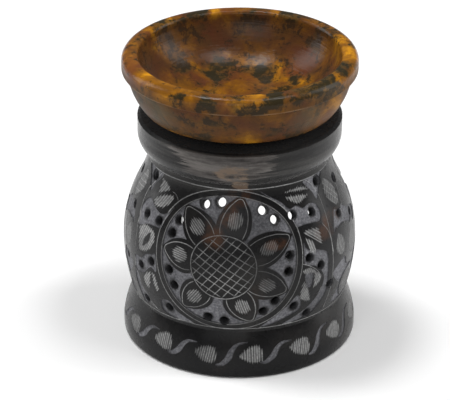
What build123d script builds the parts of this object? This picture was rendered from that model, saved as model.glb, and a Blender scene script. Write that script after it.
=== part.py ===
from build123d import *
from math import asin, cos, degrees, radians, sin, tan
import os

# Carved stone oil burner. Millimetres, +Z up, origin at the centre of the base.
# The carved medallion faces -Y and the candle doorway faces +Y.

# Burner body, outside, from the floor up
barrel_radius = 42.2  # widest radius of the barrel
foot_band = 4.5  # upright lower band of the foot
foot_rise = 12.5  # sloping upper part of the foot, up to the waist
foot_swell = 0.5  # how far that slope bulges
foot_flare = 3.6  # how far the foot stands out from the waist
foot_edge = 1.2  # rounded lower edge of the foot
waist_inset = 3.3  # waist, in from the widest radius
belly_rise = 20.5  # waist to widest line
shoulder_rise = 22.5  # widest line to the end of the shoulder's curve
shoulder_inset = 5.74
neck_rise = 12.0  # shoulder to the groove under the neck ring
neck_inset = 4.2
ring_overhang = 4.3  # neck ring, out from the groove
ring_swell = 7.0  # rounded underside of the neck ring
ring_height = 6.6  # upright part of the neck ring
ring_edge = 0.6  # rounded top edge of the neck ring

# Burner body, inside
wall = 4.0  # thickness of the barrel's wall
sill_lip = 0.5  # chamber floor and doorway sill, above the waist
throat_radius = 23.0  # opening from the chamber up to the bowl
throat_start = 1.5  # throat's straight part, above the groove
seat_ledge = 3.3  # width of the ledge that carries the bowl
seat_depth = 3.1  # ledge, below the top of the neck ring
seat_clearance = 0.3  # bowl's spigot in its recess

# Air holes, laid out on the wall: azimuth from -Y, and rise from the widest line
air_hole_radius = 1.7
air_hole_reach = 12.0  # drilled this far to each side of the outside surface
medallion_rise = 7.5  # medallion's centre, along the wall from the widest line
hole_circle_radius = 23.0  # circle of the medallion's holes
hole_pair_spread = 15.0  # angle between the two holes of a pair
petal_directions = (80, 22, -27, -69, -131, -186, -231)  # the hand-laid flower, in degrees
right_holes = (
    (37, 22.5),
    (50, 21.5),
    (43, 6.5),
    (50, 2),
    (34.5, -11.5),
    (43, -16.5),
    (61.5, 29.5),
    (71, 16),
    (57, -7.5),
    (81.5, 26),
    (86, 12),
)
left_holes = (
    (-41.5, 17.5),
    (-52, 17.5),
    (-42.5, 2),
    (-51, -2),
    (-32, -14.5),
    (-50, -16),
    (-58, 29.5),
    (-67.5, 16.5),
    (-68, -3.5),
    (-81.5, 26),
    (-86, 12),
)
back_columns = (105, 128)  # repeated on both sides of the doorway
back_pair_rises = (19.5, 2.5, -13.5)
back_pair_half_angle = 5.0

# Oil bowl
bowl_underside_gap = 0.4  # underside above the neck ring, at the spigot
heel_radius = 34.6  # where the underside turns up into the wall
heel_rise = 3.2
heel_edge = 2.2
bowl_wall_rise = 13.2  # heel to the step under the rim band
bowl_wall_flare = 5.4
bowl_wall_bulge = 1.1
rim_step = 2.0  # rim band, out from the bowl's wall
rim_step_rise = 0.6
rim_height = 5.9
rim_width = 5.7
rim_outer_edge = 3.0
rim_inner_edge = 1.6
bowl_floor = 7.6  # stone under the bowl's hollow
bowl_floor_radius = 16.0

# Tealight
tealight_radius = 19.0
tealight_height = 14.5
cup_wall = 0.35
cup_lip = 0.6  # rolled lip, out from the cup's wall
cup_lip_height = 0.7
wax_gap = 0.1  # wax to cup and to the wick's foot
wax_below_lip = 2.2
wick_radius = 0.75
wick_above_wax = 7.0
wick_gap = 0.05
sustainer_radius = 6.5
sustainer_plate = 0.35
sustainer_tube_wall = 0.35
sustainer_tube_height = 5.0

# Doorway
door_side_clearance = 6.0  # tealight to each jamb
door_spring = 6.5  # where the arch springs from the jambs, below the tealight's top

# Levels
waist_z = foot_band + foot_rise
widest_z = waist_z + belly_rise
shoulder_z = widest_z + shoulder_rise
groove_z = shoulder_z + neck_rise
ring_low_z = groove_z + ring_swell
ring_top_z = ring_low_z + ring_height
floor_z = waist_z + sill_lip
ledge_z = ring_top_z - seat_depth
throat_z = groove_z + throat_start

# Radii
waist_radius = barrel_radius - waist_inset
foot_radius = waist_radius + foot_flare
shoulder_radius = barrel_radius - shoulder_inset
groove_radius = shoulder_radius - neck_inset
ring_radius = groove_radius + ring_overhang
seat_radius = throat_radius + seat_ledge
spigot_radius = seat_radius - seat_clearance
belly_curve = (belly_rise**2 + waist_inset**2) / (2 * waist_inset)
shoulder_curve = (shoulder_rise**2 + shoulder_inset**2) / (2 * shoulder_inset)
shoulder_tilt = asin(shoulder_rise / shoulder_curve)

# Inside points, one wall thickness behind the outside curves
inner_widest = (barrel_radius - wall, widest_z)
inner_belly = belly_curve - wall
floor_radius = barrel_radius - belly_curve + (inner_belly**2 - (widest_z - floor_z) ** 2) ** 0.5
inner_shoulder = (shoulder_radius - wall * cos(shoulder_tilt), shoulder_z - wall * sin(shoulder_tilt))


def wall_plane(azimuth, rise):
    """Plane on the barrel's outside, square to the wall, at a rise from the widest line."""
    curve = shoulder_curve if rise > 0 else belly_curve
    arc_rise = min(rise, shoulder_rise)
    tilt = asin(arc_rise / curve)
    radius = barrel_radius - curve * (1 - cos(tilt)) - (rise - arc_rise) * tan(tilt)
    turn = radians(azimuth)
    origin = (radius * sin(turn), -radius * cos(turn), widest_z + rise)
    outward = (cos(tilt) * sin(turn), -cos(tilt) * cos(turn), sin(tilt))
    return Plane(origin=origin, z_dir=outward)


def medallion_plane(direction):
    """Plane of a medallion hole, whose circle lies flat on the unrolled wall."""
    around = hole_circle_radius * cos(radians(direction))
    along = medallion_rise + hole_circle_radius * sin(radians(direction))
    curve = shoulder_curve if along > 0 else belly_curve
    rise = curve * sin(along / curve)
    radius = barrel_radius - curve * (1 - cos(along / curve))
    return wall_plane(degrees(around / radius), rise)


def air_hole_planes():
    """Every air hole: a pair in each gap of the flower, the front columns and the back columns."""
    planes = []
    for first, second in zip(petal_directions, petal_directions[1:] + (petal_directions[0] - 360,)):
        middle = (first + second) / 2
        for half in (-hole_pair_spread / 2, hole_pair_spread / 2):
            planes.append(medallion_plane(middle + half))
    for azimuth, rise in right_holes + left_holes:
        planes.append(wall_plane(azimuth, rise))
    for side in (-1, 1):
        for column in back_columns:
            for rise in back_pair_rises:
                for half in (-back_pair_half_angle, back_pair_half_angle):
                    planes.append(wall_plane(side * (column + half), rise))
    return planes


# Burner body: turned outside, turned chamber, doorway and air holes
with BuildPart() as burner_body:
    with BuildSketch(Plane.XZ):
        with BuildLine():
            base = Line((0, 0), (foot_radius - foot_edge, 0))
            JernArc(base @ 1, (1, 0), foot_edge, 90)
            Line((foot_radius, foot_edge), (foot_radius, foot_band))
            SagittaArc((waist_radius, waist_z), (foot_radius, foot_band), foot_swell)
            TangentArc((barrel_radius, widest_z), (waist_radius, waist_z), tangent=(0, -1))
            shoulder = TangentArc((barrel_radius, widest_z), (shoulder_radius, shoulder_z), tangent=(0, 1))
            TangentArc(shoulder @ 1, (groove_radius, groove_z), tangent=shoulder % 1)
            TangentArc((ring_radius, ring_low_z), (groove_radius, groove_z), tangent=(0, -1))
            ring_side = Line((ring_radius, ring_low_z), (ring_radius, ring_top_z - ring_edge))
            JernArc(ring_side @ 1, (0, 1), ring_edge, 90)
            Line((ring_radius - ring_edge, ring_top_z), (0, ring_top_z))
            Line((0, ring_top_z), (0, 0))
        make_face()
    revolve(axis=Axis.Z)
    with BuildSketch(Plane.XZ):
        with BuildLine():
            Line((0, floor_z), (floor_radius, floor_z))
            TangentArc(inner_widest, (floor_radius, floor_z), tangent=(0, -1))
            TangentArc(inner_widest, inner_shoulder, tangent=(0, 1))
            Polyline(
                inner_shoulder,
                (throat_radius, throat_z),
                (throat_radius, ledge_z),
                (seat_radius, ledge_z),
                (seat_radius, ring_top_z),
                (0, ring_top_z),
                (0, floor_z),
            )
        make_face()
    revolve(axis=Axis.Z, mode=Mode.SUBTRACT)
    door_half = tealight_radius + door_side_clearance
    jamb_z = floor_z + tealight_height - door_spring
    with BuildSketch(Plane.XZ):
        with BuildLine():
            Polyline((-door_half, jamb_z), (-door_half, floor_z), (door_half, floor_z), (door_half, jamb_z))
            ThreePointArc((door_half, jamb_z), (0, jamb_z + door_half), (-door_half, jamb_z))
        make_face()
    extrude(amount=-(foot_radius + wall), mode=Mode.SUBTRACT)
    with Locations(*[plane.location for plane in air_hole_planes()]):
        Cylinder(air_hole_radius, 2 * air_hole_reach, mode=Mode.SUBTRACT)

# Oil bowl: its spigot stands on the ledge inside the neck ring
underside_z = ring_top_z + bowl_underside_gap
heel = (heel_radius, underside_z + heel_rise)
wall_top = (heel_radius + bowl_wall_flare, heel[1] + bowl_wall_rise)
rim_low = (wall_top[0] + rim_step, wall_top[1] + rim_step_rise)
rim_top_z = rim_low[1] + rim_height
rim_inner = rim_low[0] - rim_width
hollow_z = ledge_z + bowl_floor
with BuildPart() as oil_bowl:
    with BuildSketch(Plane.XZ) as bowl_profile:
        with BuildLine():
            Polyline((0, hollow_z), (0, ledge_z), (spigot_radius, ledge_z), (spigot_radius, underside_z), heel)
            SagittaArc(wall_top, heel, bowl_wall_bulge)
            Polyline(wall_top, rim_low, (rim_low[0], rim_top_z), (rim_inner, rim_top_z))
            TangentArc((bowl_floor_radius, hollow_z), (rim_inner, rim_top_z), tangent=(1, 0))
            Line((bowl_floor_radius, hollow_z), (0, hollow_z))
        make_face()
        for corner, edge in (
            ((rim_low[0], rim_top_z), rim_outer_edge),
            ((rim_inner, rim_top_z), rim_inner_edge),
            (heel, heel_edge),
        ):
            fillet(bowl_profile.vertices().sort_by_distance(corner)[0], edge)
    revolve(axis=Axis.Z)

# Tealight cup: a thin drawn cup with a rolled lip, standing on the chamber floor
cup_inside = tealight_radius - cup_lip - cup_wall
cup_top_z = floor_z + tealight_height
with BuildPart() as tealight_cup:
    with BuildSketch(Plane.XZ):
        with BuildLine():
            Polyline(
                (0, floor_z),
                (cup_inside + cup_wall, floor_z),
                (cup_inside + cup_wall, cup_top_z - cup_lip_height),
                (tealight_radius, cup_top_z - cup_lip_height),
                (tealight_radius, cup_top_z),
                (cup_inside, cup_top_z),
                (cup_inside, floor_z + cup_wall),
                (0, floor_z + cup_wall),
                (0, floor_z),
            )
        make_face()
    revolve(axis=Axis.Z)

# Wick sustainer: a small plate with a tube, lying on the cup's floor
plate_z = floor_z + cup_wall
tube_radius = wick_radius + wick_gap + sustainer_tube_wall
with BuildPart() as wick_sustainer:
    with BuildSketch(Plane.XY.offset(plate_z)):
        Circle(sustainer_radius)
    extrude(amount=sustainer_plate)
    with BuildSketch(Plane.XY.offset(plate_z + sustainer_plate)):
        Circle(tube_radius)
        Circle(wick_radius + wick_gap, mode=Mode.SUBTRACT)
    extrude(amount=sustainer_tube_height)

# Wick: stands in the sustainer's tube and rises above the wax
wick_foot_z = plate_z + sustainer_plate
wax_top_z = cup_top_z - wax_below_lip
with BuildPart() as tealight_wick:
    with BuildSketch(Plane.XY.offset(wick_foot_z)):
        Circle(wick_radius)
    extrude(amount=wax_top_z + wick_above_wax - wick_foot_z)

# Wax: fills the cup around the sustainer and the wick
tube_top_z = wick_foot_z + sustainer_tube_height
with BuildPart() as tealight_wax:
    with BuildSketch(Plane.XY.offset(plate_z)):
        Circle(cup_inside - wax_gap)
    extrude(amount=wax_top_z - plate_z)
    with BuildSketch(Plane.XY.offset(plate_z)):
        Circle(sustainer_radius + wax_gap)
    extrude(amount=sustainer_plate + wax_gap, mode=Mode.SUBTRACT)
    with BuildSketch(Plane.XY.offset(plate_z)):
        Circle(tube_radius + wax_gap)
    extrude(amount=tube_top_z + wax_gap - plate_z, mode=Mode.SUBTRACT)
    with BuildSketch(Plane.XY.offset(plate_z)):
        Circle(wick_radius + wax_gap)
    extrude(amount=wax_top_z - plate_z, mode=Mode.SUBTRACT)

pieces = {
    "burner_body": burner_body,
    "oil_bowl": oil_bowl,
    "tealight_cup": tealight_cup,
    "tealight_wax": tealight_wax,
    "wick_sustainer": wick_sustainer,
    "tealight_wick": tealight_wick,
}
os.makedirs("parts", exist_ok=True)
for node, piece in pieces.items():
    piece.part.label = node
    export_step(piece.part, f"parts/{node}.step")
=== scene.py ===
import math
import random

import bmesh
import bpy
import numpy as np
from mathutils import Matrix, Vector
from mathutils.geometry import delaunay_2d_cdt


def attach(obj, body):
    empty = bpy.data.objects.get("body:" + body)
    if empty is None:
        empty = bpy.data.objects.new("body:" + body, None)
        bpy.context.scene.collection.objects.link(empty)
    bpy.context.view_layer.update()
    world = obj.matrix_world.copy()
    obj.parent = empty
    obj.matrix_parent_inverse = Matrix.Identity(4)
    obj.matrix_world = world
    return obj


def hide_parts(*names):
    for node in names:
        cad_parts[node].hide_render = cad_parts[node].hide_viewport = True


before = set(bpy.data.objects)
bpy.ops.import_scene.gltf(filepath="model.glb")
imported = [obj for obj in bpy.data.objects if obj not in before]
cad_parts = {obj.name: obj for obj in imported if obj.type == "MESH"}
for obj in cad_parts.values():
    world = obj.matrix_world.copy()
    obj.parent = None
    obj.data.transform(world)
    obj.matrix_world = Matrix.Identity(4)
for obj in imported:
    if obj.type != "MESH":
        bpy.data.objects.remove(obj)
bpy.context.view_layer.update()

# Lengths below are in millimetres and angles in degrees, unless a name says otherwise.
MM = 0.001
rng = random.Random(7)

# Burner body, as in the solid
BARREL_RADIUS = 42.2
FOOT_BAND = 4.5
FOOT_SWELL = 0.5
FOOT_EDGE = 1.2
FOOT_RADIUS = 42.5
WAIST = (38.9, 17.0)
WIDEST_Z = 37.5
SHOULDER = (36.46, 60.0)
GROOVE = (32.26, 72.0)
RING_RADIUS = 36.56
RING_LOW_Z = 79.0
RING_TOP_Z = 85.6
RING_EDGE = 0.6
WALL = 4.0
FLOOR_Z = 17.5
THROAT_RADIUS = 23.0
THROAT_Z = 73.5
SEAT_RADIUS = 26.3
LEDGE_Z = 82.5
DOOR_HALF = 25.0
DOOR_JAMB_Z = 25.5

# Air holes, as in the solid: azimuth from the front, and rise from the widest line
AIR_HOLE_RADIUS = 1.7
MEDALLION_RISE = 7.5
HOLE_CIRCLE = 23.0
HOLE_PAIR_SPREAD = 15.0
PETAL_DIRECTIONS = (80, 22, -27, -69, -131, -186, -231)
RIGHT_HOLES = (
    (37, 22.5), (50, 21.5), (43, 6.5), (50, 2), (34.5, -11.5), (43, -16.5),
    (61.5, 29.5), (71, 16), (57, -7.5), (81.5, 26), (86, 12),
)
LEFT_HOLES = (
    (-41.5, 17.5), (-52, 17.5), (-42.5, 2), (-51, -2), (-32, -14.5), (-50, -16),
    (-58, 29.5), (-67.5, 16.5), (-68, -3.5), (-81.5, 26), (-86, 12),
)
BACK_COLUMNS = (105, 128)
BACK_PAIR_RISES = (19.5, 2.5, -13.5)
BACK_PAIR_HALF = 5.0

# Carving
GROUND_DEPTH = 0.45
SCRATCH_DEPTH = 0.16
SCRATCH_WIDTH = 0.5
RAW_STONE = 0.45  # how pale the unpolished inside is, where the scraped ground is 1
EDGE_SLOPE = 0.16  # half the width of the slope from polished stone down to scraped ground
STROKE_CAP = 0.2  # how soon after its end a scratch is gone
SEAM_WIDTH = 0.001  # points this near to the seam of the unrolled wall lie on it
FILL_INSET = 0.4  # the dulled stone of a leaf starts this far inside its outline
FILL_EDGE = 0.35  # and takes this far to fade in


def tangent_arc(start, end, tangent, step=0.2):
    """Points of the arc that leaves start along tangent and reaches end."""
    start, end, tangent = (np.array(v, float) for v in (start, end, tangent))
    normal = np.array((-tangent[1], tangent[0])) / np.hypot(*tangent)
    chord = end - start
    radius = chord @ chord / (2 * chord @ normal)
    centre = start + radius * normal
    first = math.atan2(*(start - centre)[::-1])
    turn = (math.atan2(*(end - centre)[::-1]) - first + math.pi) % (2 * math.pi) - math.pi
    count = max(2, math.ceil(abs(turn * radius) / step))
    angles = first + turn * np.linspace(0, 1, count + 1)
    return centre + abs(radius) * np.stack((np.cos(angles), np.sin(angles)), -1)


def bulged_line(start, end, bulge, count=40):
    """Points of a shallow curve from start to end that stands out by bulge to its right."""
    start, end = np.array(start, float), np.array(end, float)
    t = np.linspace(0, 1, count + 1)[:, None]
    along = end - start
    right = np.array((along[1], -along[0])) / np.hypot(*along)
    return start + t * along + 4 * bulge * t * (1 - t) * right


def joined(runs):
    """The points of several runs in one line, without the ones that repeat."""
    points = np.concatenate([np.array(run, float) for run in runs])
    keep = np.append(True, np.hypot(*np.diff(points, axis=0).T) > 1e-6)
    return points[keep]


def body_profile():
    """Outside of the body from under the foot to the top of the neck ring, as radius and height."""
    shoulder = tangent_arc((BARREL_RADIUS, WIDEST_Z), SHOULDER, (0, 1))
    runs = (
        [(FOOT_RADIUS - FOOT_EDGE - 2, 0)],
        tangent_arc((FOOT_RADIUS - FOOT_EDGE, 0), (FOOT_RADIUS, FOOT_EDGE), (1, 0), 0.1),
        bulged_line((FOOT_RADIUS, FOOT_BAND), WAIST, FOOT_SWELL),
        tangent_arc((BARREL_RADIUS, WIDEST_Z), WAIST, (0, -1))[::-1],
        shoulder[1:],
        tangent_arc(SHOULDER, GROOVE, shoulder[-1] - shoulder[-2])[1:],
        tangent_arc((RING_RADIUS, RING_LOW_Z), GROOVE, (0, -1))[::-1][1:],
        tangent_arc((RING_RADIUS, RING_TOP_Z - RING_EDGE), (RING_RADIUS - RING_EDGE, RING_TOP_Z), (0, 1), 0.1),
        [(SEAT_RADIUS - 1.2, RING_TOP_Z)],
    )
    return joined(runs)


PROFILE = body_profile()
ALONG = np.append(0, np.cumsum(np.hypot(*np.diff(PROFILE, axis=0).T)))
ALONG -= ALONG[np.argmin(np.hypot(PROFILE[:, 0] - BARREL_RADIUS, PROFILE[:, 1] - WIDEST_Z))]
SLOPE = np.gradient(PROFILE, ALONG, axis=0)
HALF_TURN = math.pi * BARREL_RADIUS
RISING = PROFILE[:, 1] < RING_TOP_Z - RING_EDGE


def radius_of(along):
    return np.interp(along, ALONG, PROFILE[:, 0])


def along_of(height):
    """Distance along the wall from the widest line, for a height on the outside."""
    return np.interp(height, PROFILE[RISING, 1], ALONG[RISING])


def surface(around, along, depth):
    """Points on the body, cut in by depth, for places on the unrolled wall."""
    azimuth = around / BARREL_RADIUS
    normal_r = np.interp(along, ALONG, SLOPE[:, 1])
    normal_z = -np.interp(along, ALONG, SLOPE[:, 0])
    length = np.hypot(normal_r, normal_z)
    radius = radius_of(along) - depth * normal_r / length
    height = np.interp(along, ALONG, PROFILE[:, 1]) - depth * normal_z / length
    return np.stack((radius * np.sin(azimuth), -radius * np.cos(azimuth), height), -1)


# Drawing on the unrolled wall: a place is (u, v), true millimetres around from an azimuth and up from the widest line
STROKES = []
FILLS = []
GROUNDS = []
ISLANDS = []


def smooth(points, closed=False, step=0.7):
    """A smooth line through a few points, sampled about every step."""
    points = np.array(points, float)
    if closed:
        points = np.concatenate((points[-1:], points, points[:2]))
    else:
        points = np.concatenate((2 * points[:1] - points[1:2], points, 2 * points[-1:] - points[-2:-1]))
    line = []
    for p0, p1, p2, p3 in zip(points, points[1:], points[2:], points[3:]):
        count = max(1, math.ceil(np.hypot(*(p2 - p1)) / step))
        t = np.arange(count)[:, None] / count
        line.append(0.5 * (2 * p1 + (p2 - p0) * t + (2 * p0 - 5 * p1 + 4 * p2 - p3) * t**2
                           + (3 * p1 - p0 - 3 * p2 + p3) * t**3))
    if not closed:
        line.append(points[-2:-1])
    return np.concatenate(line)


def turned(points, tilt, centre=(0, 0)):
    """Points turned by tilt about the origin and moved to centre."""
    c, s = math.cos(math.radians(tilt)), math.sin(math.radians(tilt))
    return np.array(points, float) @ np.array(((c, s), (-s, c))) + np.array(centre, float)


def ellipse(half_u, half_v, count=48, wobble=0.0):
    """An oval, drawn by hand if it has a wobble."""
    angles = np.arange(count) * 2 * math.pi / count
    phase = rng.uniform(0, 6)
    swell = 1 + wobble * (np.sin(2 * angles + phase) + 0.6 * np.sin(3 * angles + 2 * phase))
    return np.stack((half_u * swell * np.cos(angles), half_v * swell * np.sin(angles)), -1)


def stroke(azimuth, points, width=SCRATCH_WIDTH, closed=False, strength=1.0):
    """A scratched line, pointed at its ends unless it is closed."""
    half = np.full(len(points), width / 2)
    if not closed:
        half[[0, -1]] *= 0.25
    STROKES.append((azimuth, np.array(points, float), half, closed, strength))


def hatch(azimuth, outline, tilt, spacing=0.95, width=0.46, strength=1.0, ragged=0.5, fill=0.22):
    """Parallel scratches that fill an outline, over stone that they have dulled."""
    if fill:
        FILLS.append((azimuth, np.array(outline, float), fill * strength))
    flat = turned(outline, -tilt)
    ahead = np.roll(flat, -1, axis=0)
    level = flat[:, 1].min() + spacing * 0.6
    while level < flat[:, 1].max() - 0.15:
        crosses = (flat[:, 1] - level) * (ahead[:, 1] - level) < 0
        share = (level - flat[crosses, 1]) / (ahead[crosses, 1] - flat[crosses, 1])
        ends = flat[crosses, 0] + share * (ahead[crosses, 0] - flat[crosses, 0])
        if len(ends) >= 2:
            low = ends.min() + rng.uniform(-0.2, ragged)
            high = ends.max() - rng.uniform(-0.2, ragged)
            if high - low > 0.8:
                sag = rng.uniform(-0.12, 0.12)
                line = [(low, level), ((low + high) / 2, level + sag), (high, level + rng.uniform(-0.15, 0.15))]
                stroke(azimuth, turned(smooth(line, step=1.1), tilt), width, strength=strength)
        level += spacing * rng.uniform(0.85, 1.15)


def leaf_shape(length, width):
    """A leaf, pointed at both ends, along the first axis."""
    t = np.linspace(0, 1, 13)
    half = width / 2 * np.sin(math.pi * t**0.85) ** 0.8
    along = (t - 0.5) * length
    return np.concatenate((np.stack((along, half), -1), np.stack((along, -half), -1)[-2:0:-1]))


def drop_shape(length, width):
    """A drop along the first axis, pointed at its start and blunt at its end."""
    t = np.linspace(0, 1, 15)
    half = t**0.7 * (1 - t) ** 0.3
    half *= width / 2 / half.max()
    along = (t - 0.5) * length
    return np.concatenate((np.stack((along, half), -1), np.stack((along, -half), -1)[-2:0:-1]))


def leaf(azimuth, centre, length, width, axis, strokes, rib=False, crossed=False):
    """A leaf of scratches, with a bare rib or crossed scratches where the carver made them so."""
    outline = turned(leaf_shape(length, width), axis, centre)
    hatch(azimuth, outline, strokes, spacing=1.1)
    if crossed:
        hatch(azimuth, outline, strokes + 70, spacing=2.1, strength=0.7, fill=0)
    if rib:
        ribline = turned(leaf_shape(length * 0.62, width * 0.2), axis, centre)
        ISLANDS.append((azimuth, ribline, "rib"))


# Medallion
MEDALLION = np.array((0.0, MEDALLION_RISE))
RING_OUTER = (28.0, 27.0)
RING_INNER = (25.7, 24.8)
FLOWER = np.array((-1.3, 6.4))
DISC_RADIUS = 11.9
PETAL_TIP = 25.5
PETAL_HALF_WIDTHS = ((0, 5.4), (0.2, 6.3), (0.45, 6.0), (0.7, 4.4), (0.88, 2.0), (1, 0.05))
PETAL_HATCH_TURNS = (5, 48, -14, -8, 4, 0, 6)
LATTICE_TILTS = (50, -32)
LATTICE_SPACING = 2.75


def petal_side(base, tip, widen, start, stop, count=18):
    """The two sides of a petal between two shares of its length, from the base to the tip."""
    axis = tip - base
    across = np.array((-axis[1], axis[0])) / np.hypot(*axis)
    knots = smooth(PETAL_HALF_WIDTHS, step=0.08)
    share = np.linspace(0, 1, count)
    half = np.interp(share, knots[:, 0], knots[:, 1]) * widen
    middle = base + (start + (stop - start) * share)[:, None] * axis
    return middle + half[:, None] * across, middle - half[:, None] * across


def carve_petal(direction, hatch_turn):
    unit = np.array((math.cos(math.radians(direction)), math.sin(math.radians(direction))))
    tip = MEDALLION + PETAL_TIP * unit
    toward = tip - FLOWER
    base = FLOWER + (DISC_RADIUS - 0.6) * toward / np.hypot(*toward)
    left, right = petal_side(base, tip, 1.0, 0, 1)
    ISLANDS.append((0, np.concatenate((left, right[::-1])), "polished"))
    left, right = petal_side(base, tip, 0.74, 0.02, 0.95)
    stroke(0, smooth(np.concatenate((left, right[::-1][1:]))[::2]), 0.42)
    tilt = math.degrees(math.atan2(toward[1], toward[0]))
    patch = turned(ellipse(3.5, 2.9, 24), tilt, base + 0.40 * (tip - base))
    hatch(0, patch, tilt + hatch_turn, spacing=0.8, width=0.52, strength=0.85)


def carve_medallion():
    ring = ellipse(*RING_OUTER, count=150, wobble=0.004) + MEDALLION
    stroke(0, ring, 0.45, closed=True, strength=0.8)
    ring = ellipse(*RING_INNER, count=140, wobble=0.004) + MEDALLION
    stroke(0, ring, 0.4, closed=True, strength=0.5)
    GROUNDS.append((0, ellipse(RING_INNER[0] - 0.3, RING_INNER[1] - 0.3, 120) + MEDALLION))
    for direction, hatch_turn in zip(PETAL_DIRECTIONS, PETAL_HATCH_TURNS):
        carve_petal(direction, hatch_turn)
    ISLANDS.append((0, ellipse(DISC_RADIUS + 0.3, DISC_RADIUS + 0.3, 64) + FLOWER, "polished"))
    stroke(0, ellipse(DISC_RADIUS, DISC_RADIUS, 76, wobble=0.01) + FLOWER, 0.45, closed=True)
    disc = ellipse(DISC_RADIUS - 0.3, DISC_RADIUS - 0.3, 60) + FLOWER
    for tilt in LATTICE_TILTS:
        hatch(0, disc, tilt, spacing=LATTICE_SPACING, width=0.46, strength=0.85, ragged=0.3, fill=0)


# Leaves beside the medallion, each of one or more blades: tilt of the scratches, and the blade's outline
FRONT_BLADES = (
    (65, ((18.5, 31.5), (23.5, 32.7), (28.0, 32.3), (31.0, 30.0), (24.5, 30.9))),
    (118, ((20.0, 30.5), (24.5, 30.1), (30.4, 28.7), (26.0, 26.4), (22.0, 28.4))),
    (-36, ((28.0, 16.0), (30.5, 17.2), (35.5, 15.7), (37.2, 9.5), (33.0, 13.2))),
    (-65, ((29.0, 14.4), (32.4, 12.6), (34.5, 7.6), (32.0, 7.8), (30.0, 11.5))),
    (56, ((28.6, -2.2), (30.6, -4.0), (31.5, -10.8), (26.8, -8.8))),
    (62, ((33.2, 1.0), (36.8, -1.0), (36.2, -4.0), (32.5, -6.4), (33.2, -2.0))),
    (72, ((28.3, 2.7), (31.5, 3.3), (35.2, 0.2), (33.0, -0.2), (28.8, 0.6))),
    (50, ((-27.5, 32.7), (-23.3, 29.8), (-30.7, 26.5), (-29.6, 28.8))),
    (50, ((-30.7, 25.4), (-22.7, 28.6), (-21.3, 27.0), (-26.0, 22.8), (-31.3, 22.2))),
    (58, ((-38.4, 12.7), (-33.5, 14.8), (-29.3, 13.2), (-29.8, 9.0), (-33.0, 5.2), (-38.2, 3.6), (-39.2, 8.5))),
    (55, ((-34.8, -4.8), (-31.4, -1.8), (-31.2, -5.0), (-32.8, -10.4), (-35.8, -7.5))),
    (55, ((-30.8, -1.8), (-28.8, -2.6), (-27.0, -7.4), (-28.5, -9.4), (-30.2, -5.6))),
)
LEAF_HEART = ((29.5, 0.8), (32.6, 0.3), (32.9, -2.5), (31.5, -5.2), (30.0, -3.8))
LEAF_SLIT = ((-36.2, 6.0), (-35.0, 9.6), (-31.6, 12.6), (-32.6, 9.0))
NECK_LINE = 34.4
BASE_LINE = -19.2
COLUMN_BORDERS = (
    ((29.5, 33.8), (33.5, 30.5), (37.0, 25.0), (40.5, 16.0), (43.0, 4.0), (42.5, -8.0), (38.5, -18.4)),
    ((-29.5, 33.8), (-33.0, 30.0), (-37.5, 24.5), (-39.8, 17.0), (-41.0, 6.0), (-41.5, -5.0), (-36.5, -13.0), (-28.0, -18.4)),
)
# Scraped ground around the pairs of holes, between the ring and the border
COLUMN_GROUNDS = (
    (
        (10.5, 33.8), (14.5, 31.2), (18.5, 28.8), (22.0, 25.8), (25.0, 26.2), (28.0, 24.6), (30.5, 25.4), (34.0, 24.5),
        (36.6, 20.5), (36.0, 18.2), (33.0, 18.6), (29.0, 19.0), (25.5, 19.0), (24.0, 21.0), (20.5, 26.0), (15.0, 30.4),
    ),
    (
        (28.4, 12.8), (29.6, 10.4), (32.0, 8.9), (35.0, 8.4), (39.2, 6.4), (40.4, 3.0), (40.4, -2.0), (40.0, -8.0),
        (37.5, -12.5), (32.5, -16.6), (27.0, -18.4), (20.0, -19.0), (25.5, -16.2), (30.5, -13.6), (35.4, -9.6), (38.0, -5.0),
        (37.6, -1.2), (34.2, 2.6), (30.0, 4.2), (29.0, 5.4), (28.8, 9.0),
    ),
    (
        (26.2, -7.0), (27.4, -10.6), (26.4, -13.6), (21.0, -15.8), (15.5, -17.8), (11.5, -18.9), (17.0, -14.6), (22.2, -10.4),
    ),
    (
        (-40.0, 16.0), (-38.0, 20.6), (-34.2, 23.6), (-31.5, 22.2), (-27.8, 20.6), (-24.5, 21.4), (-21.0, 24.6),
        (-22.2, 23.0), (-25.2, 18.6), (-26.8, 15.8), (-30.0, 15.4), (-34.0, 14.8), (-39.6, 12.6),
    ),
    (
        (-41.0, 0.6), (-37.0, 1.0), (-34.0, 3.6), (-30.4, 4.8), (-28.8, 5.4), (-28.4, -1.0), (-31.5, -0.4), (-35.0, -3.8),
        (-37.4, -5.0), (-41.2, -4.6),
    ),
    (
        (-26.0, -12.4), (-22.0, -11.6), (-19.5, -14.8), (-12.5, -18.9), (-19.0, -19.0), (-25.4, -17.0),
    ),
    (
        (-41.2, -5.6), (-38.4, -7.0), (-37.6, -10.6), (-33.6, -13.4), (-32.8, -16.4), (-35.8, -18.2), (-38.4, -15.0), (-41.0, -10.0),
    ),
)
COLUMN_LINES = (
    ((37.0, 17.2), (41.0, 12.4), (43.6, 4.0)),
    ((28.0, 5.2), (31.5, 3.4), (35.0, 0.4), (36.4, -3.0)),
    ((37.2, -6.6), (34.4, -10.6), (29.4, -14.6), (22.0, -18.2)),
    ((-39.6, -10.0), (-34.0, -16.0), (-27.0, -18.6)),
    ((-22.6, 29.6), (-20.6, 29.0), (-19.4, 27.2)),
)


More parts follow.
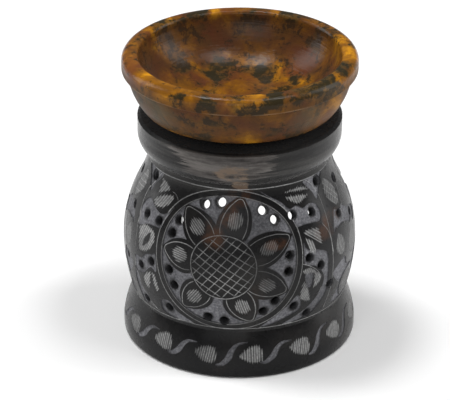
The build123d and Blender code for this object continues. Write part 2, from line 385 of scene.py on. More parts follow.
def carve_front_columns():
    for border in COLUMN_BORDERS:
        stroke(0, smooth(border), 0.45, strength=0.85)
    for line in COLUMN_LINES:
        stroke(0, smooth(line), 0.4, strength=0.8)
    for outline in COLUMN_GROUNDS:
        GROUNDS.append((0, smooth(outline, closed=True)))
    for tilt, outline in FRONT_BLADES:
        hatch(0, smooth(outline, closed=True, step=0.5), tilt, spacing=0.86, width=0.52, strength=0.9, ragged=0.4, fill=0.4)
    GROUNDS.append((0, smooth(LEAF_HEART, closed=True)))
    ISLANDS.append((0, smooth(LEAF_SLIT, closed=True), "rib"))


# Sprays on the sides: azimuth, place up the wall, size, axis, tilt of the scratches, crossed
SIDE_LEAVES = (
    (70.5, 25.2, (13.0, 8.0), 105, 58, True),
    (80.5, 3.6, (12.0, 7.6), 72, 60, False),
    (66.0, 5.8, (10.5, 6.8), 100, 65, False),
    (75.0, -11.6, (9.5, 7.5), 60, 70, False),
    (91.0, 25.0, (9.5, 6.5), 80, 62, True),
)
SIDE_STEM = ((60.5, -17.0), (67.0, -4.0), (72.5, 9.5), (77.0, 19.0), (86.0, 31.0))
SPANDREL = ((49.0, 33.6), (57.0, 33.8), (67.0, 33.8), (62.6, 30.5), (57.0, 25.6), (54.5, 29.0))
SIDE_GROUNDS = (
    ((62.0, 11.5), (67.0, 19.0), (73.0, 20.0), (78.0, 17.0), (84.0, 15.0), (91.0, 13.0), (90.0, 9.5), (83.0, 8.6), (76.0, 11.5), (69.0, 12.6)),
    ((59.0, -4.0), (64.0, -1.5), (70.0, -0.6), (73.0, -4.5), (80.0, -4.8), (84.0, -2.0), (91.0, 1.5), (92.0, -2.0), (85.0, -15.0),
     (79.0, -17.8), (62.0, -17.6), (66.5, -11.0), (63.0, -8.0)),
)


def wall_points(azimuth, places):
    """Places given as azimuth and height along the wall, in true millimetres from another azimuth."""
    return [(math.radians(a - azimuth) * float(radius_of(v)), v) for a, v in places]


def carve_sides():
    for side in (1, -1):
        for azimuth, v, size, axis, strokes, crossed in SIDE_LEAVES:
            axis = axis if side > 0 else 180 - axis
            rim = turned(leaf_shape(size[0] + 3.4, size[1] + 3.4), axis, (0, v))
            ISLANDS.append((side * azimuth, rim, "polished"))
            leaf(side * azimuth, (0, v), *size, axis, strokes if side > 0 else 180 - strokes, crossed=crossed)
        middle = 72
        stem = smooth(wall_points(middle, SIDE_STEM)) * (side, 1)
        stroke(side * middle, stem, 0.42, strength=0.7)
        for outline in (SPANDREL, *SIDE_GROUNDS):
            GROUNDS.append((side * middle, smooth(wall_points(middle, outline), closed=True) * (side, 1)))


# Panels of leaves beside the doorway
PANEL_AZIMUTHS = (95.5, 136.0)
PANEL_HEIGHTS = (-17.6, 32.0)
PANEL_LEAF_HEIGHTS = (27.0, 11.3, -5.6)
ARCH_LINES = (1.6, 3.2)
ARCH_LEAVES = ((150.0, 27.5, 70), (165.5, 27.5, 105))


def carve_back():
    middle = sum(PANEL_AZIMUTHS) / 2
    low, high = PANEL_HEIGHTS
    corners = []
    for azimuth in PANEL_AZIMUTHS:
        heights = np.linspace(low, high, 9)
        heights = heights if azimuth == PANEL_AZIMUTHS[1] else heights[::-1]
        corners += wall_points(middle, [(azimuth, v) for v in heights])
    panel = np.array(corners)
    for side in (1, -1):
        GROUNDS.append((side * middle, panel * (side, 1)))
        for edge in (-1.0, 1.0):
            azimuth = PANEL_AZIMUTHS[0] - 1.6 * (edge < 0)
            line = wall_points(middle, [(azimuth, v) for v in np.linspace(low, high, 40)])
            stroke(side * middle, np.array(line) * (side, 1), 0.42, strength=0.75)
        for column in BACK_COLUMNS:
            for row, v in enumerate(PANEL_LEAF_HEIGHTS):
                cell = ellipse(5.2, 5.0, 40, wobble=0.03) + (0, v)
                ISLANDS.append((side * column, cell, "polished"))
                leaf(side * column, (0, v), 8.6, 6.6, 80 - 40 * (row % 2), 62, rib=row == 1)
        for azimuth, v, axis in ARCH_LEAVES:
            leaf(side * azimuth, (0, v), 8.4, 6.2, axis if side > 0 else 180 - axis, 65 * side)
        for offset in ARCH_LINES:
            stroke(side * 160, arch_line(side, offset), 0.45, strength=0.85)


def arch_line(side, offset):
    """Half of a line that follows the doorway, from its sill to the middle of its arch."""
    reach = DOOR_HALF + offset
    jamb = np.stack((np.full(6, reach), np.linspace(FLOOR_Z + 1.2, DOOR_JAMB_Z, 6)), -1)
    angles = np.radians(np.linspace(0, 92, 45))[1:]
    arch = np.stack((reach * np.cos(angles), DOOR_JAMB_Z + reach * np.sin(angles)), -1)
    line = np.concatenate((jamb, arch))
    along = along_of(line[:, 1])
    azimuth = 180 - np.degrees(np.arcsin(line[:, 0] / radius_of(along)))
    return np.stack((side * np.radians(azimuth - 160) * radius_of(along), along), -1)


# Foot: leaf and scroll, over and over
FOOT_PITCH = 24.0
FOOT_FIRST = 12.7
FOOT_REPEATS = range(-7, 8)
SEAM_REACH = 165.0  # what is carved beyond this azimuth may cross the seam of the unrolled wall
FOOT_LEVEL = 9.2
SCROLL_STEP = 11.6
SCROLL_LINE = ((-5.2, -3.4), (-3.0, -3.1), (-0.6, -1.2), (1.0, 1.4), (3.2, 3.2), (6.6, 3.5))
SCROLL_HALF_WIDTHS = (0.2, 0.85, 1.1, 0.85, 0.42, 0.12)


def carve_foot():
    level = float(along_of(FOOT_LEVEL))
    middle = smooth(SCROLL_LINE, step=0.6)
    share = np.linspace(0, 1, len(middle))
    half = np.interp(share, np.linspace(0, 1, len(SCROLL_HALF_WIDTHS)), SCROLL_HALF_WIDTHS)
    heading = np.gradient(middle, axis=0)
    across = np.stack((-heading[:, 1], heading[:, 0]), -1) / np.hypot(*heading.T)[:, None]
    for repeat in FOOT_REPEATS:
        azimuth = FOOT_FIRST + FOOT_PITCH * repeat + rng.uniform(-1.0, 1.0)
        centre = (0, level + rng.uniform(-0.5, 0.3))
        tilt = rng.uniform(-8, 8)
        drop = turned(drop_shape(9.0, 7.2), tilt, centre)
        hatch(azimuth, drop, tilt + 84, spacing=0.86, width=0.56, strength=0.82, ragged=0.3)
        azimuth += SCROLL_STEP + rng.uniform(-1.0, 1.0)
        size = rng.uniform(0.9, 1.08)
        sides = np.concatenate((middle + half[:, None] * across, (middle - half[:, None] * across)[::-1]))
        GROUNDS.append((azimuth, turned(size * sides, rng.uniform(-8, 8), (0, level))))
    for drawn in (STROKES, FILLS, GROUNDS):
        drawn += [(azimuth - 360, *rest) for azimuth, *rest in drawn if azimuth > SEAM_REACH]


def carve_lines():
    """The lines that run right round: under the neck and above the foot."""
    around = np.linspace(-math.pi - 0.03, math.pi + 0.03, 232)
    for level, width, wave in ((NECK_LINE, 0.5, 0.35), (BASE_LINE, 0.45, 0.12)):
        waver = wave * (np.cos(3 * around) - np.cos(5 * around + 2 * math.pi) * 0.5)
        line = np.stack((around * float(radius_of(level)), level + waver), -1)
        stroke(0, line, width, strength=0.9)


def air_holes():
    """Each air hole's azimuth and rise from the widest line."""
    holes = list(RIGHT_HOLES + LEFT_HOLES)
    for first, second in zip(PETAL_DIRECTIONS, PETAL_DIRECTIONS[1:] + (PETAL_DIRECTIONS[0] - 360,)):
        for half in (-HOLE_PAIR_SPREAD / 2, HOLE_PAIR_SPREAD / 2):
            direction = math.radians((first + second) / 2 + half)
            along = MEDALLION_RISE + HOLE_CIRCLE * math.sin(direction)
            curve, tilt, radius = wall_arc(along=along)
            around = HOLE_CIRCLE * math.cos(direction)
            holes.append((math.degrees(around / radius), curve * math.sin(tilt)))
    for side in (-1, 1):
        for column in BACK_COLUMNS:
            for rise in BACK_PAIR_RISES:
                for half in (-BACK_PAIR_HALF, BACK_PAIR_HALF):
                    holes.append((side * (column + half), rise))
    return holes


def wall_arc(along=None, rise=None):
    """The barrel's arc at a place: its radius of curve, the wall's tilt and the wall's radius."""
    upper = (along if rise is None else rise) > 0
    inset = BARREL_RADIUS - (SHOULDER[0] if upper else WAIST[0])
    height = (SHOULDER[1] if upper else WAIST[1]) - WIDEST_Z
    curve = (height**2 + inset**2) / (2 * inset)
    tilt = along / curve if rise is None else math.asin(min(rise, height) / curve if upper else rise / curve)
    radius = BARREL_RADIUS - curve * (1 - math.cos(tilt))
    if rise is not None and upper:
        radius -= max(rise - height, 0) * math.tan(tilt)
    return curve, tilt, radius


def to_sheet(azimuth, points):
    """Places on the wall as a point on the flat sheet that wraps the body."""
    points = np.asarray(points, float)
    around = BARREL_RADIUS * (math.radians(azimuth) + points[:, 0] / radius_of(points[:, 1]))
    return np.stack((around, points[:, 1]), -1)


def from_sheet(azimuth, sheet):
    turn = sheet[:, 0] / BARREL_RADIUS - math.radians(azimuth)
    return np.stack((turn * radius_of(sheet[:, 1]), sheet[:, 1]), -1)


def offset_line(points, distance, closed):
    """The line moved sideways by a distance that may differ from point to point."""
    if closed:
        heading = np.roll(points, -1, axis=0) - np.roll(points, 1, axis=0)
    else:
        heading = np.gradient(points, axis=0)
    across = np.stack((-heading[:, 1], heading[:, 0]), -1) / np.maximum(np.hypot(*heading.T), 1e-9)[:, None]
    return points + np.reshape(distance, (-1, 1)) * across


def beyond_ends(points):
    """The two places just beyond a line's ends."""
    heading = points[[0, -1]] - points[[1, -2]]
    return points[[0, -1]] + STROKE_CAP * heading / np.hypot(*heading.T)[:, None]


def winding(polygon):
    """1 for an outline that runs anticlockwise, and -1 for one that runs clockwise."""
    ahead = np.roll(polygon, -1, axis=0)
    return float(np.sign((polygon[:, 0] * ahead[:, 1] - ahead[:, 0] * polygon[:, 1]).sum()))


def segment_distance(points, starts, ends):
    """For each point, its least distance to a set of segments and the place along them."""
    span = ends - starts
    rel = points[:, None, :] - starts[None]
    share = np.clip((rel * span).sum(-1) / np.maximum((span**2).sum(-1), 1e-12), 0, 1)
    gap = np.hypot(*np.moveaxis(rel - share[..., None] * span, -1, 0))
    best = gap.argmin(1)
    rows = np.arange(len(points))
    return gap[rows, best], best + share[rows, best]


def inside(points, polygon):
    """Signed distance to a polygon's outline, positive inside."""
    ahead = np.roll(polygon, -1, axis=0)
    gap, _ = segment_distance(points, polygon, ahead)
    x, y = points[:, :1], points[:, 1:]
    crosses = (polygon[:, 1] > y) != (ahead[:, 1] > y)
    slope = (ahead[:, 0] - polygon[:, 0]) / np.where(ahead[:, 1] == polygon[:, 1], 1e-12, ahead[:, 1] - polygon[:, 1])
    left = x < polygon[:, 0] + slope * (y - polygon[:, 1])
    return np.where((crosses & left).sum(1) % 2 == 1, gap, -gap)


def near(places, points, margin):
    low, high = points.min(0) - margin, points.max(0) + margin
    return np.flatnonzero(((places > low) & (places < high)).all(1))


def carving(sheet):
    """How scraped and how scratched the stone is at each place of the sheet, from 0 to 1."""
    ground = np.full(len(sheet), -9.0)
    cache = {}

    def local(azimuth):
        if azimuth not in cache:
            cache[azimuth] = from_sheet(azimuth, sheet)
        return cache[azimuth]

    for azimuth, polygon in GROUNDS:
        places = local(azimuth)
        pick = near(places, polygon, 1.0)
        ground[pick] = np.maximum(ground[pick], inside(places[pick], polygon))
    scratch = np.zeros(len(sheet))
    for azimuth, points, half, closed, strength in STROKES:
        places = local(azimuth)
        pick = near(places, points, 0.6)
        ends = np.roll(points, -1, axis=0) if closed else points[1:]
        starts = points if closed else points[:-1]
        gap, where = segment_distance(places[pick], starts, ends)
        width = np.interp(where, np.arange(len(half)), half)
        scratch[pick] = np.maximum(scratch[pick], strength * np.clip(1.4 * (1 - gap / width), 0, 1))
    for azimuth, polygon, strength in FILLS:
        places = local(azimuth)
        pick = near(places, polygon, 0.5)
        depth = inside(places[pick], polygon)
        scratch[pick] = np.maximum(scratch[pick], strength * np.clip((depth - FILL_INSET) / FILL_EDGE, 0, 1))
    for azimuth, polygon, kind in ISLANDS:
        places = local(azimuth)
        pick = near(places, polygon, 1.0)
        depth = inside(places[pick], polygon)
        ground[pick] = np.minimum(ground[pick], -depth)
        if kind == "rib":
            scratch[pick] *= np.clip(0.5 - depth / 0.3, 0, 1)
    share = np.clip((ground / EDGE_SLOPE + 0.8) / 1.6, 0, 1)
    return share * share * (3 - 2 * share), scratch


# Rows of plain points that carry the turned shape between the carvings, and rows that its edges follow
ROW_STEP = 1.7
RING_EDGE_START = float(along_of(RING_TOP_Z - RING_EDGE - 0.01))
EDGE_ROWS = np.concatenate((
    np.linspace(ALONG[0] + 2, ALONG[0] + 2 + FOOT_EDGE * math.pi / 2, 6),
    [float(along_of(z)) for z in (FOOT_BAND, WAIST[1])],
    float(along_of(GROOVE[1])) + np.array((-1.6, -0.8, -0.3, 0, 0.3, 0.8, 1.6)),
    [float(along_of(RING_LOW_Z))],
    np.linspace(RING_EDGE_START, RING_EDGE_START + RING_EDGE * math.pi / 2, 5),
    ALONG[[0, -1]],
))


def sheet_mesh():
    """The unrolled outside, cut into triangles that follow every carved line."""
    places, edges = [], []

    def add_line(points, closed=False):
        first = len(places)
        places.extend(map(tuple, points))
        count = len(points)
        edges.extend((first + i, first + i + 1) for i in range(count - 1))
        if closed:
            edges.append((first + count - 1, first))

    plain = [v for v in np.arange(ALONG[0], ALONG[-1], ROW_STEP) if np.abs(EDGE_ROWS - v).min() > 0.45]
    count = int(2 * HALF_TURN / ROW_STEP)
    rows = sorted(plain + EDGE_ROWS.tolist())
    for index, v in enumerate(rows):
        around = np.linspace(-HALF_TURN, HALF_TURN, count + 1)
        if index % 2:
            around = np.concatenate((around[:1], (around[1:] + around[:-1]) / 2, around[-1:]))
        line = np.stack((around, np.full(len(around), v)), -1)
        if v in EDGE_ROWS:
            add_line(line)
        else:
            places.extend(map(tuple, line))
    for seam in (-HALF_TURN, HALF_TURN):
        add_line([(seam, v) for v in rows])
    for azimuth, points, half, closed, _ in STROKES:
        add_line(to_sheet(azimuth, points), closed)
        if not closed:
            places.extend(map(tuple, to_sheet(azimuth, beyond_ends(points))))
        for side in (-1, 1):
            add_line(to_sheet(azimuth, offset_line(points, side * half, closed)), closed)
    for azimuth, polygon, _ in FILLS:
        for inward in (FILL_INSET, FILL_INSET + FILL_EDGE):
            add_line(to_sheet(azimuth, offset_line(polygon, inward * winding(polygon), True)), True)
    for azimuth, polygon in GROUNDS + [island[:2] for island in ISLANDS]:
        for side in (-EDGE_SLOPE, EDGE_SLOPE):
            add_line(to_sheet(azimuth, offset_line(polygon, side, True)), True)
    places = np.array(places)
    places[:, 1] = np.clip(places[:, 1], ALONG[0], ALONG[-1])
    result = delaunay_2d_cdt([Vector(p) for p in places], edges, [], 0, 1e-4, False)
    sheet = np.array([tuple(v) for v in result[0]])
    faces = np.array(result[2])
    faces = faces[np.abs(sheet[faces, 0].mean(1)) < HALF_TURN]
    used, faces = np.unique(faces, return_inverse=True)
    return sheet[used], faces.reshape(-1, 3)


def new_object(name, verts, faces, uv=None):
    """A mesh object in metres from points in millimetres."""
    mesh = bpy.data.meshes.new(name)
    mesh.from_pydata([tuple(v) for v in np.asarray(verts) * MM], [], [tuple(f) for f in faces])
    mesh.update()
    obj = bpy.data.objects.new(name, mesh)
    bpy.context.collection.objects.link(obj)
    return obj


def lathe(name, profile, segments):
    """A solid of revolution about Z. The profile runs from the axis back to the axis, or back to its start."""
    profile = np.array(profile, float)
    ring_shaped = np.allclose(profile[0], profile[-1])
    if ring_shaped:
        profile = profile[:-1]
    turns = np.arange(segments) * 2 * math.pi / segments
    verts, rings = [], []
    for radius, height in profile:
        if radius < 1e-6:
            rings.append([len(verts)] * segments)
            verts.append((0, 0, height))
            continue
        rings.append(list(range(len(verts), len(verts) + segments)))
        verts += [(radius * math.sin(t), -radius * math.cos(t), height) for t in turns]
    if ring_shaped:
        rings.append(rings[0])
    faces = []
    for low, high in zip(rings, rings[1:]):
        for i in range(segments):
            j = (i + 1) % segments
            corners = (low[i], low[j], high[j], high[i])
            face = list(dict.fromkeys(corners))
            if len(face) > 2:
                faces.append(face)
    return new_object(name, verts, faces)


def body_blank():
    """The carved outside as a closed solid, before it is hollowed."""
    sheet, faces = sheet_mesh()
    ground, scratch = carving(sheet)
    uneven = np.random.default_rng(3).uniform(0.8, 1.1, len(sheet))
    uneven[np.abs(sheet[:, 0]) > HALF_TURN - SEAM_WIDTH] = 1.0
    depth = GROUND_DEPTH * ground * uneven + SCRATCH_DEPTH * scratch
    azimuth = sheet[:, 0] / BARREL_RADIUS
    depth += 0.05 * (np.sin(3 * azimuth + sheet[:, 1] / 9) + np.sin(5 * azimuth - sheet[:, 1] / 6)) / 2
    points = surface(sheet[:, 0], sheet[:, 1], depth)
    points[:, 2] = np.maximum(points[:, 2], 0)
    obj = new_object("blank", points, faces)
    mesh = obj.data
    for name, values in (("ground", ground), ("scratch", scratch)):
        mesh.attributes.new(name, "FLOAT", "POINT").data.foreach_set("value", values.astype(np.float32))
    bm = bmesh.new()
    bm.from_mesh(mesh)
    bmesh.ops.remove_doubles(bm, verts=bm.verts, dist=2e-6)
    rims = {}
    for edge in bm.edges:
        if edge.is_boundary:
            rims.setdefault(edge.verts[0].co.z > 0.04, []).append(edge)
    for top, rim in rims.items():
        hub = bm.verts.new((0, 0, RING_TOP_Z * MM if top else 0))
        for edge in rim:
            bm.faces.new((edge.verts[0], edge.verts[1], hub))
    bmesh.ops.recalc_face_normals(bm, faces=bm.faces)
    bm.to_mesh(mesh)
    bm.free()
    return obj


def chamber_cutter():
    shoulder_curve, tilt, _ = wall_arc(rise=SHOULDER[1] - WIDEST_Z)
    inner_shoulder = (SHOULDER[0] - WALL * math.cos(tilt), SHOULDER[1] - WALL * math.sin(tilt))
    inner_widest = (BARREL_RADIUS - WALL, WIDEST_Z)
    belly, _, _ = wall_arc(rise=-1.0)
    inner = belly - WALL
    floor_radius = BARREL_RADIUS - belly + math.sqrt(inner**2 - (WIDEST_Z - FLOOR_Z) ** 2)
    profile = [(0, FLOOR_Z)]
    profile += tangent_arc(inner_widest, (floor_radius, FLOOR_Z), (0, -1), 2.0)[::-1].tolist()
    profile += tangent_arc(inner_widest, inner_shoulder, (0, 1), 2.0)[1:].tolist()
    profile += [(THROAT_RADIUS, THROAT_Z), (THROAT_RADIUS, LEDGE_Z), (SEAT_RADIUS, LEDGE_Z)]
    profile += [(SEAT_RADIUS, RING_TOP_Z - 0.4), (SEAT_RADIUS + 0.5, RING_TOP_Z + 0.1), (SEAT_RADIUS + 0.5, RING_TOP_Z + 4)]
    profile += [(0, RING_TOP_Z + 4)]
    return lathe("chamber", profile, 160)


def doorway_cutter():
    """An arched prism out through the back wall."""
    angles = np.radians(np.linspace(0, 180, 61))
    arch = [(DOOR_HALF * math.cos(a), DOOR_JAMB_Z + DOOR_HALF * math.sin(a)) for a in angles]
    outline = [(DOOR_HALF, FLOOR_Z)] + arch + [(-DOOR_HALF, FLOOR_Z)]
    verts = [(x, y, z) for y in (10.0, 60.0) for x, z in outline]
    count = len(outline)
    faces = [list(range(count)), list(range(2 * count - 1, count - 1, -1))]
    faces += [(i, i + count, (i + 1) % count + count, (i + 1) % count) for i in range(count)]
    return new_object("doorway", verts, faces)


def hole_cutters():
    """One drill for each air hole, flared a little at the outside where the stone chipped."""
    profile = [(0, -9), (AIR_HOLE_RADIUS, -9), (AIR_HOLE_RADIUS, -0.55), (AIR_HOLE_RADIUS + 0.28, 0.1),
               (AIR_HOLE_RADIUS + 0.6, 2.0), (0, 2.0)]
    drill = lathe("drill", profile, 28)
    shape = [v.co.copy() for v in drill.data.vertices]
    polygons = [tuple(p.vertices) for p in drill.data.polygons]
    bpy.data.objects.remove(drill)
    verts, faces = [], []
    for azimuth, rise in air_holes():
        _, tilt, radius = wall_arc(rise=rise)
        turn = math.radians(azimuth)
        outward = Vector((math.cos(tilt) * math.sin(turn), -math.cos(tilt) * math.cos(turn), math.sin(tilt)))
        place = Vector((radius * math.sin(turn), -radius * math.cos(turn), WIDEST_Z + rise))
        frame_turn = outward.to_track_quat("Z", "Y")
        first = len(verts)
        verts += [tuple(place + frame_turn @ (co / MM)) for co in shape]
        faces += [tuple(first + i for i in polygon) for polygon in polygons]
    return new_object("drills", verts, faces)


def outward_normals(obj):
    bm = bmesh.new()
    bm.from_mesh(obj.data)
    bmesh.ops.recalc_face_normals(bm, faces=bm.faces)
    bm.to_mesh(obj.data)
    bm.free()


def cut(obj, cutter):
    """Takes the cutter out of the object, and leaves raw stone where it cut."""
    outward_normals(cutter)
    for name, value in (("ground", RAW_STONE), ("scratch", 0.0)):
        values = np.full(len(cutter.data.vertices), value, np.float32)
        cutter.data.attributes.new(name, "FLOAT", "POINT").data.foreach_set("value", values)
    modifier = obj.modifiers.new("cut", "BOOLEAN")
    modifier.operation = "DIFFERENCE"
    modifier.solver = "MANIFOLD"
    modifier.object = cutter
    evaluated = obj.evaluated_get(bpy.context.evaluated_depsgraph_get())
    mesh = bpy.data.meshes.new_from_object(evaluated)
    obj.modifiers.clear()
    obj.data = mesh
    bpy.data.objects.remove(cutter)


def merge_slivers(obj):
    """Takes out the edges and faces too small to see that cutting leaves."""
    bm = bmesh.new()
    bm.from_mesh(obj.data)
    bmesh.ops.dissolve_degenerate(bm, dist=2e-6, edges=bm.edges)
    bm.to_mesh(obj.data)
    bm.free()


def carved_body():
    carve_medallion()
    carve_front_columns()
    carve_sides()
    carve_back()
    carve_foot()
    carve_lines()
    obj = body_blank()
    for cutter in (chamber_cutter(), doorway_cutter(), hole_cutters()):
        cut(obj, cutter)
    merge_slivers(obj)
    obj.name = "carved_body"
    obj.data.name = "carved_body"
    return obj


body = carved_body()


# Oil bowl, as in the solid
SPIGOT_RADIUS = 26.0
UNDERSIDE_Z = 86.0
HEEL = (34.6, 89.2)
HEEL_EDGE = 2.2
WALL_TOP = (40.0, 102.4)
WALL_BULGE = 1.1
RIM_LOW = (42.0, 103.0)
RIM_TOP_Z = 108.9
RIM_INNER = 36.3
RIM_OUTER_EDGE = 3.0
RIM_INNER_EDGE = 1.6
HOLLOW_Z = 90.1
HOLLOW_FLOOR_RADIUS = 16.0


def rounded(before, corner, after, radius, count=8):
    """Points of the arc that rounds a corner."""
    before, corner, after = (np.array(p, float) for p in (before, corner, after))
    back = (before - corner) / np.hypot(*(before - corner))
    ahead = (after - corner) / np.hypot(*(after - corner))
    half = math.acos(float(np.clip(back @ ahead, -1, 1))) / 2
    reach = radius / math.tan(half)
    return tangent_arc(corner + reach * back, corner + reach * ahead, -back, radius / count)


def bowl_profile():
    wall = bulged_line(HEEL, WALL_TOP, WALL_BULGE, 24)
    hollow = tangent_arc((HOLLOW_FLOOR_RADIUS, HOLLOW_Z), (RIM_INNER, RIM_TOP_Z), (1, 0), 0.8)[::-1]
    heel = rounded((SPIGOT_RADIUS, UNDERSIDE_Z), HEEL, wall[3], HEEL_EDGE)
    outer = rounded(RIM_LOW, (RIM_LOW[0], RIM_TOP_Z), (RIM_INNER, RIM_TOP_Z), RIM_OUTER_EDGE)
    inner = rounded((RIM_LOW[0], RIM_TOP_Z), (RIM_INNER, RIM_TOP_Z), hollow[4], RIM_INNER_EDGE)
    step = rounded(WALL_TOP, RIM_LOW, (RIM_LOW[0], RIM_TOP_Z), 0.4, 3)
    runs = (
        [(0, LEDGE_Z), (12, LEDGE_Z), (SPIGOT_RADIUS - 0.5, LEDGE_Z), (SPIGOT_RADIUS, LEDGE_Z + 0.5)],
        [(SPIGOT_RADIUS, UNDERSIDE_Z), (SPIGOT_RADIUS + 4, UNDERSIDE_Z + 1.12)],
        heel, wall[4:], step, [(RIM_LOW[0], 104.6)], outer, [(39.0, RIM_TOP_Z)], inner, hollow[3:],
        [(8, HOLLOW_Z), (0, HOLLOW_Z)],
    )
    return joined(runs)


def shade(obj, angle):
    """Smooth shading that keeps edges sharper than an angle."""
    mesh = obj.data
    mesh.shade_smooth()
    mesh.set_sharp_from_angle(angle=math.radians(angle))


def soften(obj, amount, seed):
    """Hand-worked unevenness: slow waves that move points sideways by up to amount."""
    co = np.zeros(len(obj.data.vertices) * 3)
    obj.data.vertices.foreach_get("co", co)
    co = co.reshape(-1, 3)
    turn = np.arctan2(co[:, 0], -co[:, 1])
    wave = np.sin(2 * turn + seed) + 0.6 * np.sin(5 * turn + co[:, 2] * 90 + 2 * seed) + 0.4 * np.sin(3 * turn + co[:, 2] * 300)
    co[:, :2] *= (1 + amount * wave / 2 / RIM_LOW[0])[:, None]
    obj.data.vertices.foreach_set("co", co.ravel())
    obj.data.update()


# Tealight, as in the solid
TEALIGHT_RADIUS = 19.0
CUP_TOP_Z = 32.0
CUP_WALL = 0.35
CUP_LIP = 0.6
WAX_GAP = 0.1
WAX_TOP_Z = 29.8
WICK_RADIUS = 0.75
WICK_TOP_Z = 36.8
SUSTAINER_RADIUS = 6.5
SUSTAINER_PLATE = 0.35
TUBE_HEIGHT = 5.0
TUBE_WALL = 0.35
TUBE_GAP = 0.05


def cup_profile():
    """A drawn foil cup with a small base step and a rolled lip."""
    outside = TEALIGHT_RADIUS - CUP_LIP
    inside_radius = outside - CUP_WALL
    lip = (TEALIGHT_RADIUS - 0.42, CUP_TOP_Z - 0.42)
    angles = np.radians(np.linspace(-120, 170, 14))
    rolled = np.stack((lip[0] + 0.42 * np.cos(angles), lip[1] + 0.42 * np.sin(angles)), -1)
    runs = (
        [(0, FLOOR_Z + 0.3), (15.2, FLOOR_Z + 0.3), (15.8, FLOOR_Z), (outside - 0.9, FLOOR_Z)],
        [(outside - 0.25, FLOOR_Z + 0.25), (outside, FLOOR_Z + 0.9), (outside, lip[1] - 0.6)],
        rolled,
        [(inside_radius, lip[1] - 0.3), (inside_radius, FLOOR_Z + CUP_WALL + 0.25), (0, FLOOR_Z + CUP_WALL + 0.25)],
    )
    return np.concatenate([np.array(run, float) for run in runs])


def wax_profile():
    """Wax with a raised edge where it clung to the cup, and a shallow dip around the wick."""
    plate = FLOOR_Z + CUP_WALL + SUSTAINER_PLATE
    edge = TEALIGHT_RADIUS - CUP_LIP - CUP_WALL - WAX_GAP
    tube = WICK_RADIUS + TUBE_GAP + TUBE_WALL + WAX_GAP
    bore = WICK_RADIUS + WAX_GAP
    tube_top = plate + TUBE_HEIGHT + WAX_GAP
    low = FLOOR_Z + CUP_WALL + 0.3
    return (
        (bore, tube_top), (tube, tube_top), (tube, plate + WAX_GAP + 0.1), (SUSTAINER_RADIUS + WAX_GAP, plate + WAX_GAP + 0.1),
        (SUSTAINER_RADIUS + WAX_GAP, low), (edge, low), (edge, WAX_TOP_Z - 0.25), (edge - 0.15, WAX_TOP_Z),
        (edge - 0.5, WAX_TOP_Z - 0.18), (edge - 1.5, WAX_TOP_Z - 0.45), (edge - 4, WAX_TOP_Z - 0.5),
        (9, WAX_TOP_Z - 0.5), (6, WAX_TOP_Z - 0.62), (3.4, WAX_TOP_Z - 0.85), (1.9, WAX_TOP_Z - 0.7),
        (1.1, WAX_TOP_Z - 0.2), (bore, WAX_TOP_Z - 0.1), (bore, tube_top),
    )


def sustainer_profile():
    plate = FLOOR_Z + CUP_WALL + 0.3
    top = plate + SUSTAINER_PLATE - 0.3
    inner = WICK_RADIUS + TUBE_GAP
    outer = inner + TUBE_WALL
    tube_top = FLOOR_Z + CUP_WALL + SUSTAINER_PLATE + TUBE_HEIGHT
    return (
        (inner, plate + 0.02), (SUSTAINER_RADIUS, plate + 0.02), (SUSTAINER_RADIUS, top + 0.12),
        (SUSTAINER_RADIUS - 0.25, top + 0.3), (outer + 0.5, top + 0.32), (outer, top + 0.8),
        (outer, tube_top - 0.1), (outer - 0.1, tube_top), (inner, tube_top), (inner, plate + 0.02),
    )


def wick_mesh():
    """Three twisted strands, a little frayed at the top."""
    low = FLOOR_Z + CUP_WALL + SUSTAINER_PLATE + 0.05
    heights = np.linspace(low, WICK_TOP_Z, 90)
    count = 24
    verts, faces = [(0, 0, low)], []
    for z in heights:
        twist = z * 1.9
        near_top = max(0, (z - WICK_TOP_Z + 1.2) / 1.2)
        for i in range(count):
            angle = 2 * math.pi * i / count
            radius = WICK_RADIUS * (0.9 + 0.09 * math.cos(3 * (angle - twist))) * (1 - 0.35 * near_top**2)
            verts.append((radius * math.cos(angle), radius * math.sin(angle), z))
    verts.append((0, 0, WICK_TOP_Z))
    last = len(verts) - 1
    rows = len(heights)
    for i in range(count):
        j = (i + 1) % count
        faces.append((0, 1 + j, 1 + i))
        for r in range(rows - 1):
            a, b = 1 + r * count, 1 + (r + 1) * count
            faces.append((a + i, a + j, b + j, b + i))
        top = 1 + (rows - 1) * count
        faces.append((top + i, top + j, last))
    return new_object("cotton_wick", verts, faces)


def turned_bowl():
    """The bowl, which tells its polished inside and rim from its duller outside wall, and marks the walls of its
    hollow; its material darkens both walls with painted shade.
    """
    profile = bowl_profile()
    obj = lathe("turned_bowl", profile, BOWL_SEGMENTS)
    height = profile[:, 1]
    before_top = np.arange(len(profile)) < np.argmax(height)
    # outside: the duller outside wall, which the material also paints darker as painted shade
    outside = np.where(before_top, np.clip((RIM_TOP_Z - 1 - height) / 4, 0, 1), 0)
    # hollow: where painted shade darkens the hollow's steep walls, leaving its floor and the rim
    hollow = np.where(before_top, 0, np.clip((height - HOLLOW_Z - 2) / 4, 0, 1) * np.clip((RIM_TOP_Z - 0.4 - height) / 2, 0, 1))
    for name, by_ring in (("outside", outside), ("hollow", hollow)):
        values = np.concatenate((by_ring[:1], np.repeat(by_ring[1:-1], BOWL_SEGMENTS), by_ring[-1:]))
        obj.data.attributes.new(name, "FLOAT", "POINT").data.foreach_set("value", values.astype(np.float32))
    soften(obj, 0.12, 1.3)
    return obj


BOWL_SEGMENTS = 220
bowl = turned_bowl()
cup = lathe("foil_cup", cup_profile(), 144)
wax = lathe("wax_fill", wax_profile(), 96)
sustainer = lathe("wick_foot", sustainer_profile(), 64)
wick = wick_mesh()
for piece in (bowl, cup, wax, sustainer, wick):
    outward_normals(piece)
    shade(piece, 40)
shade(body, 20)


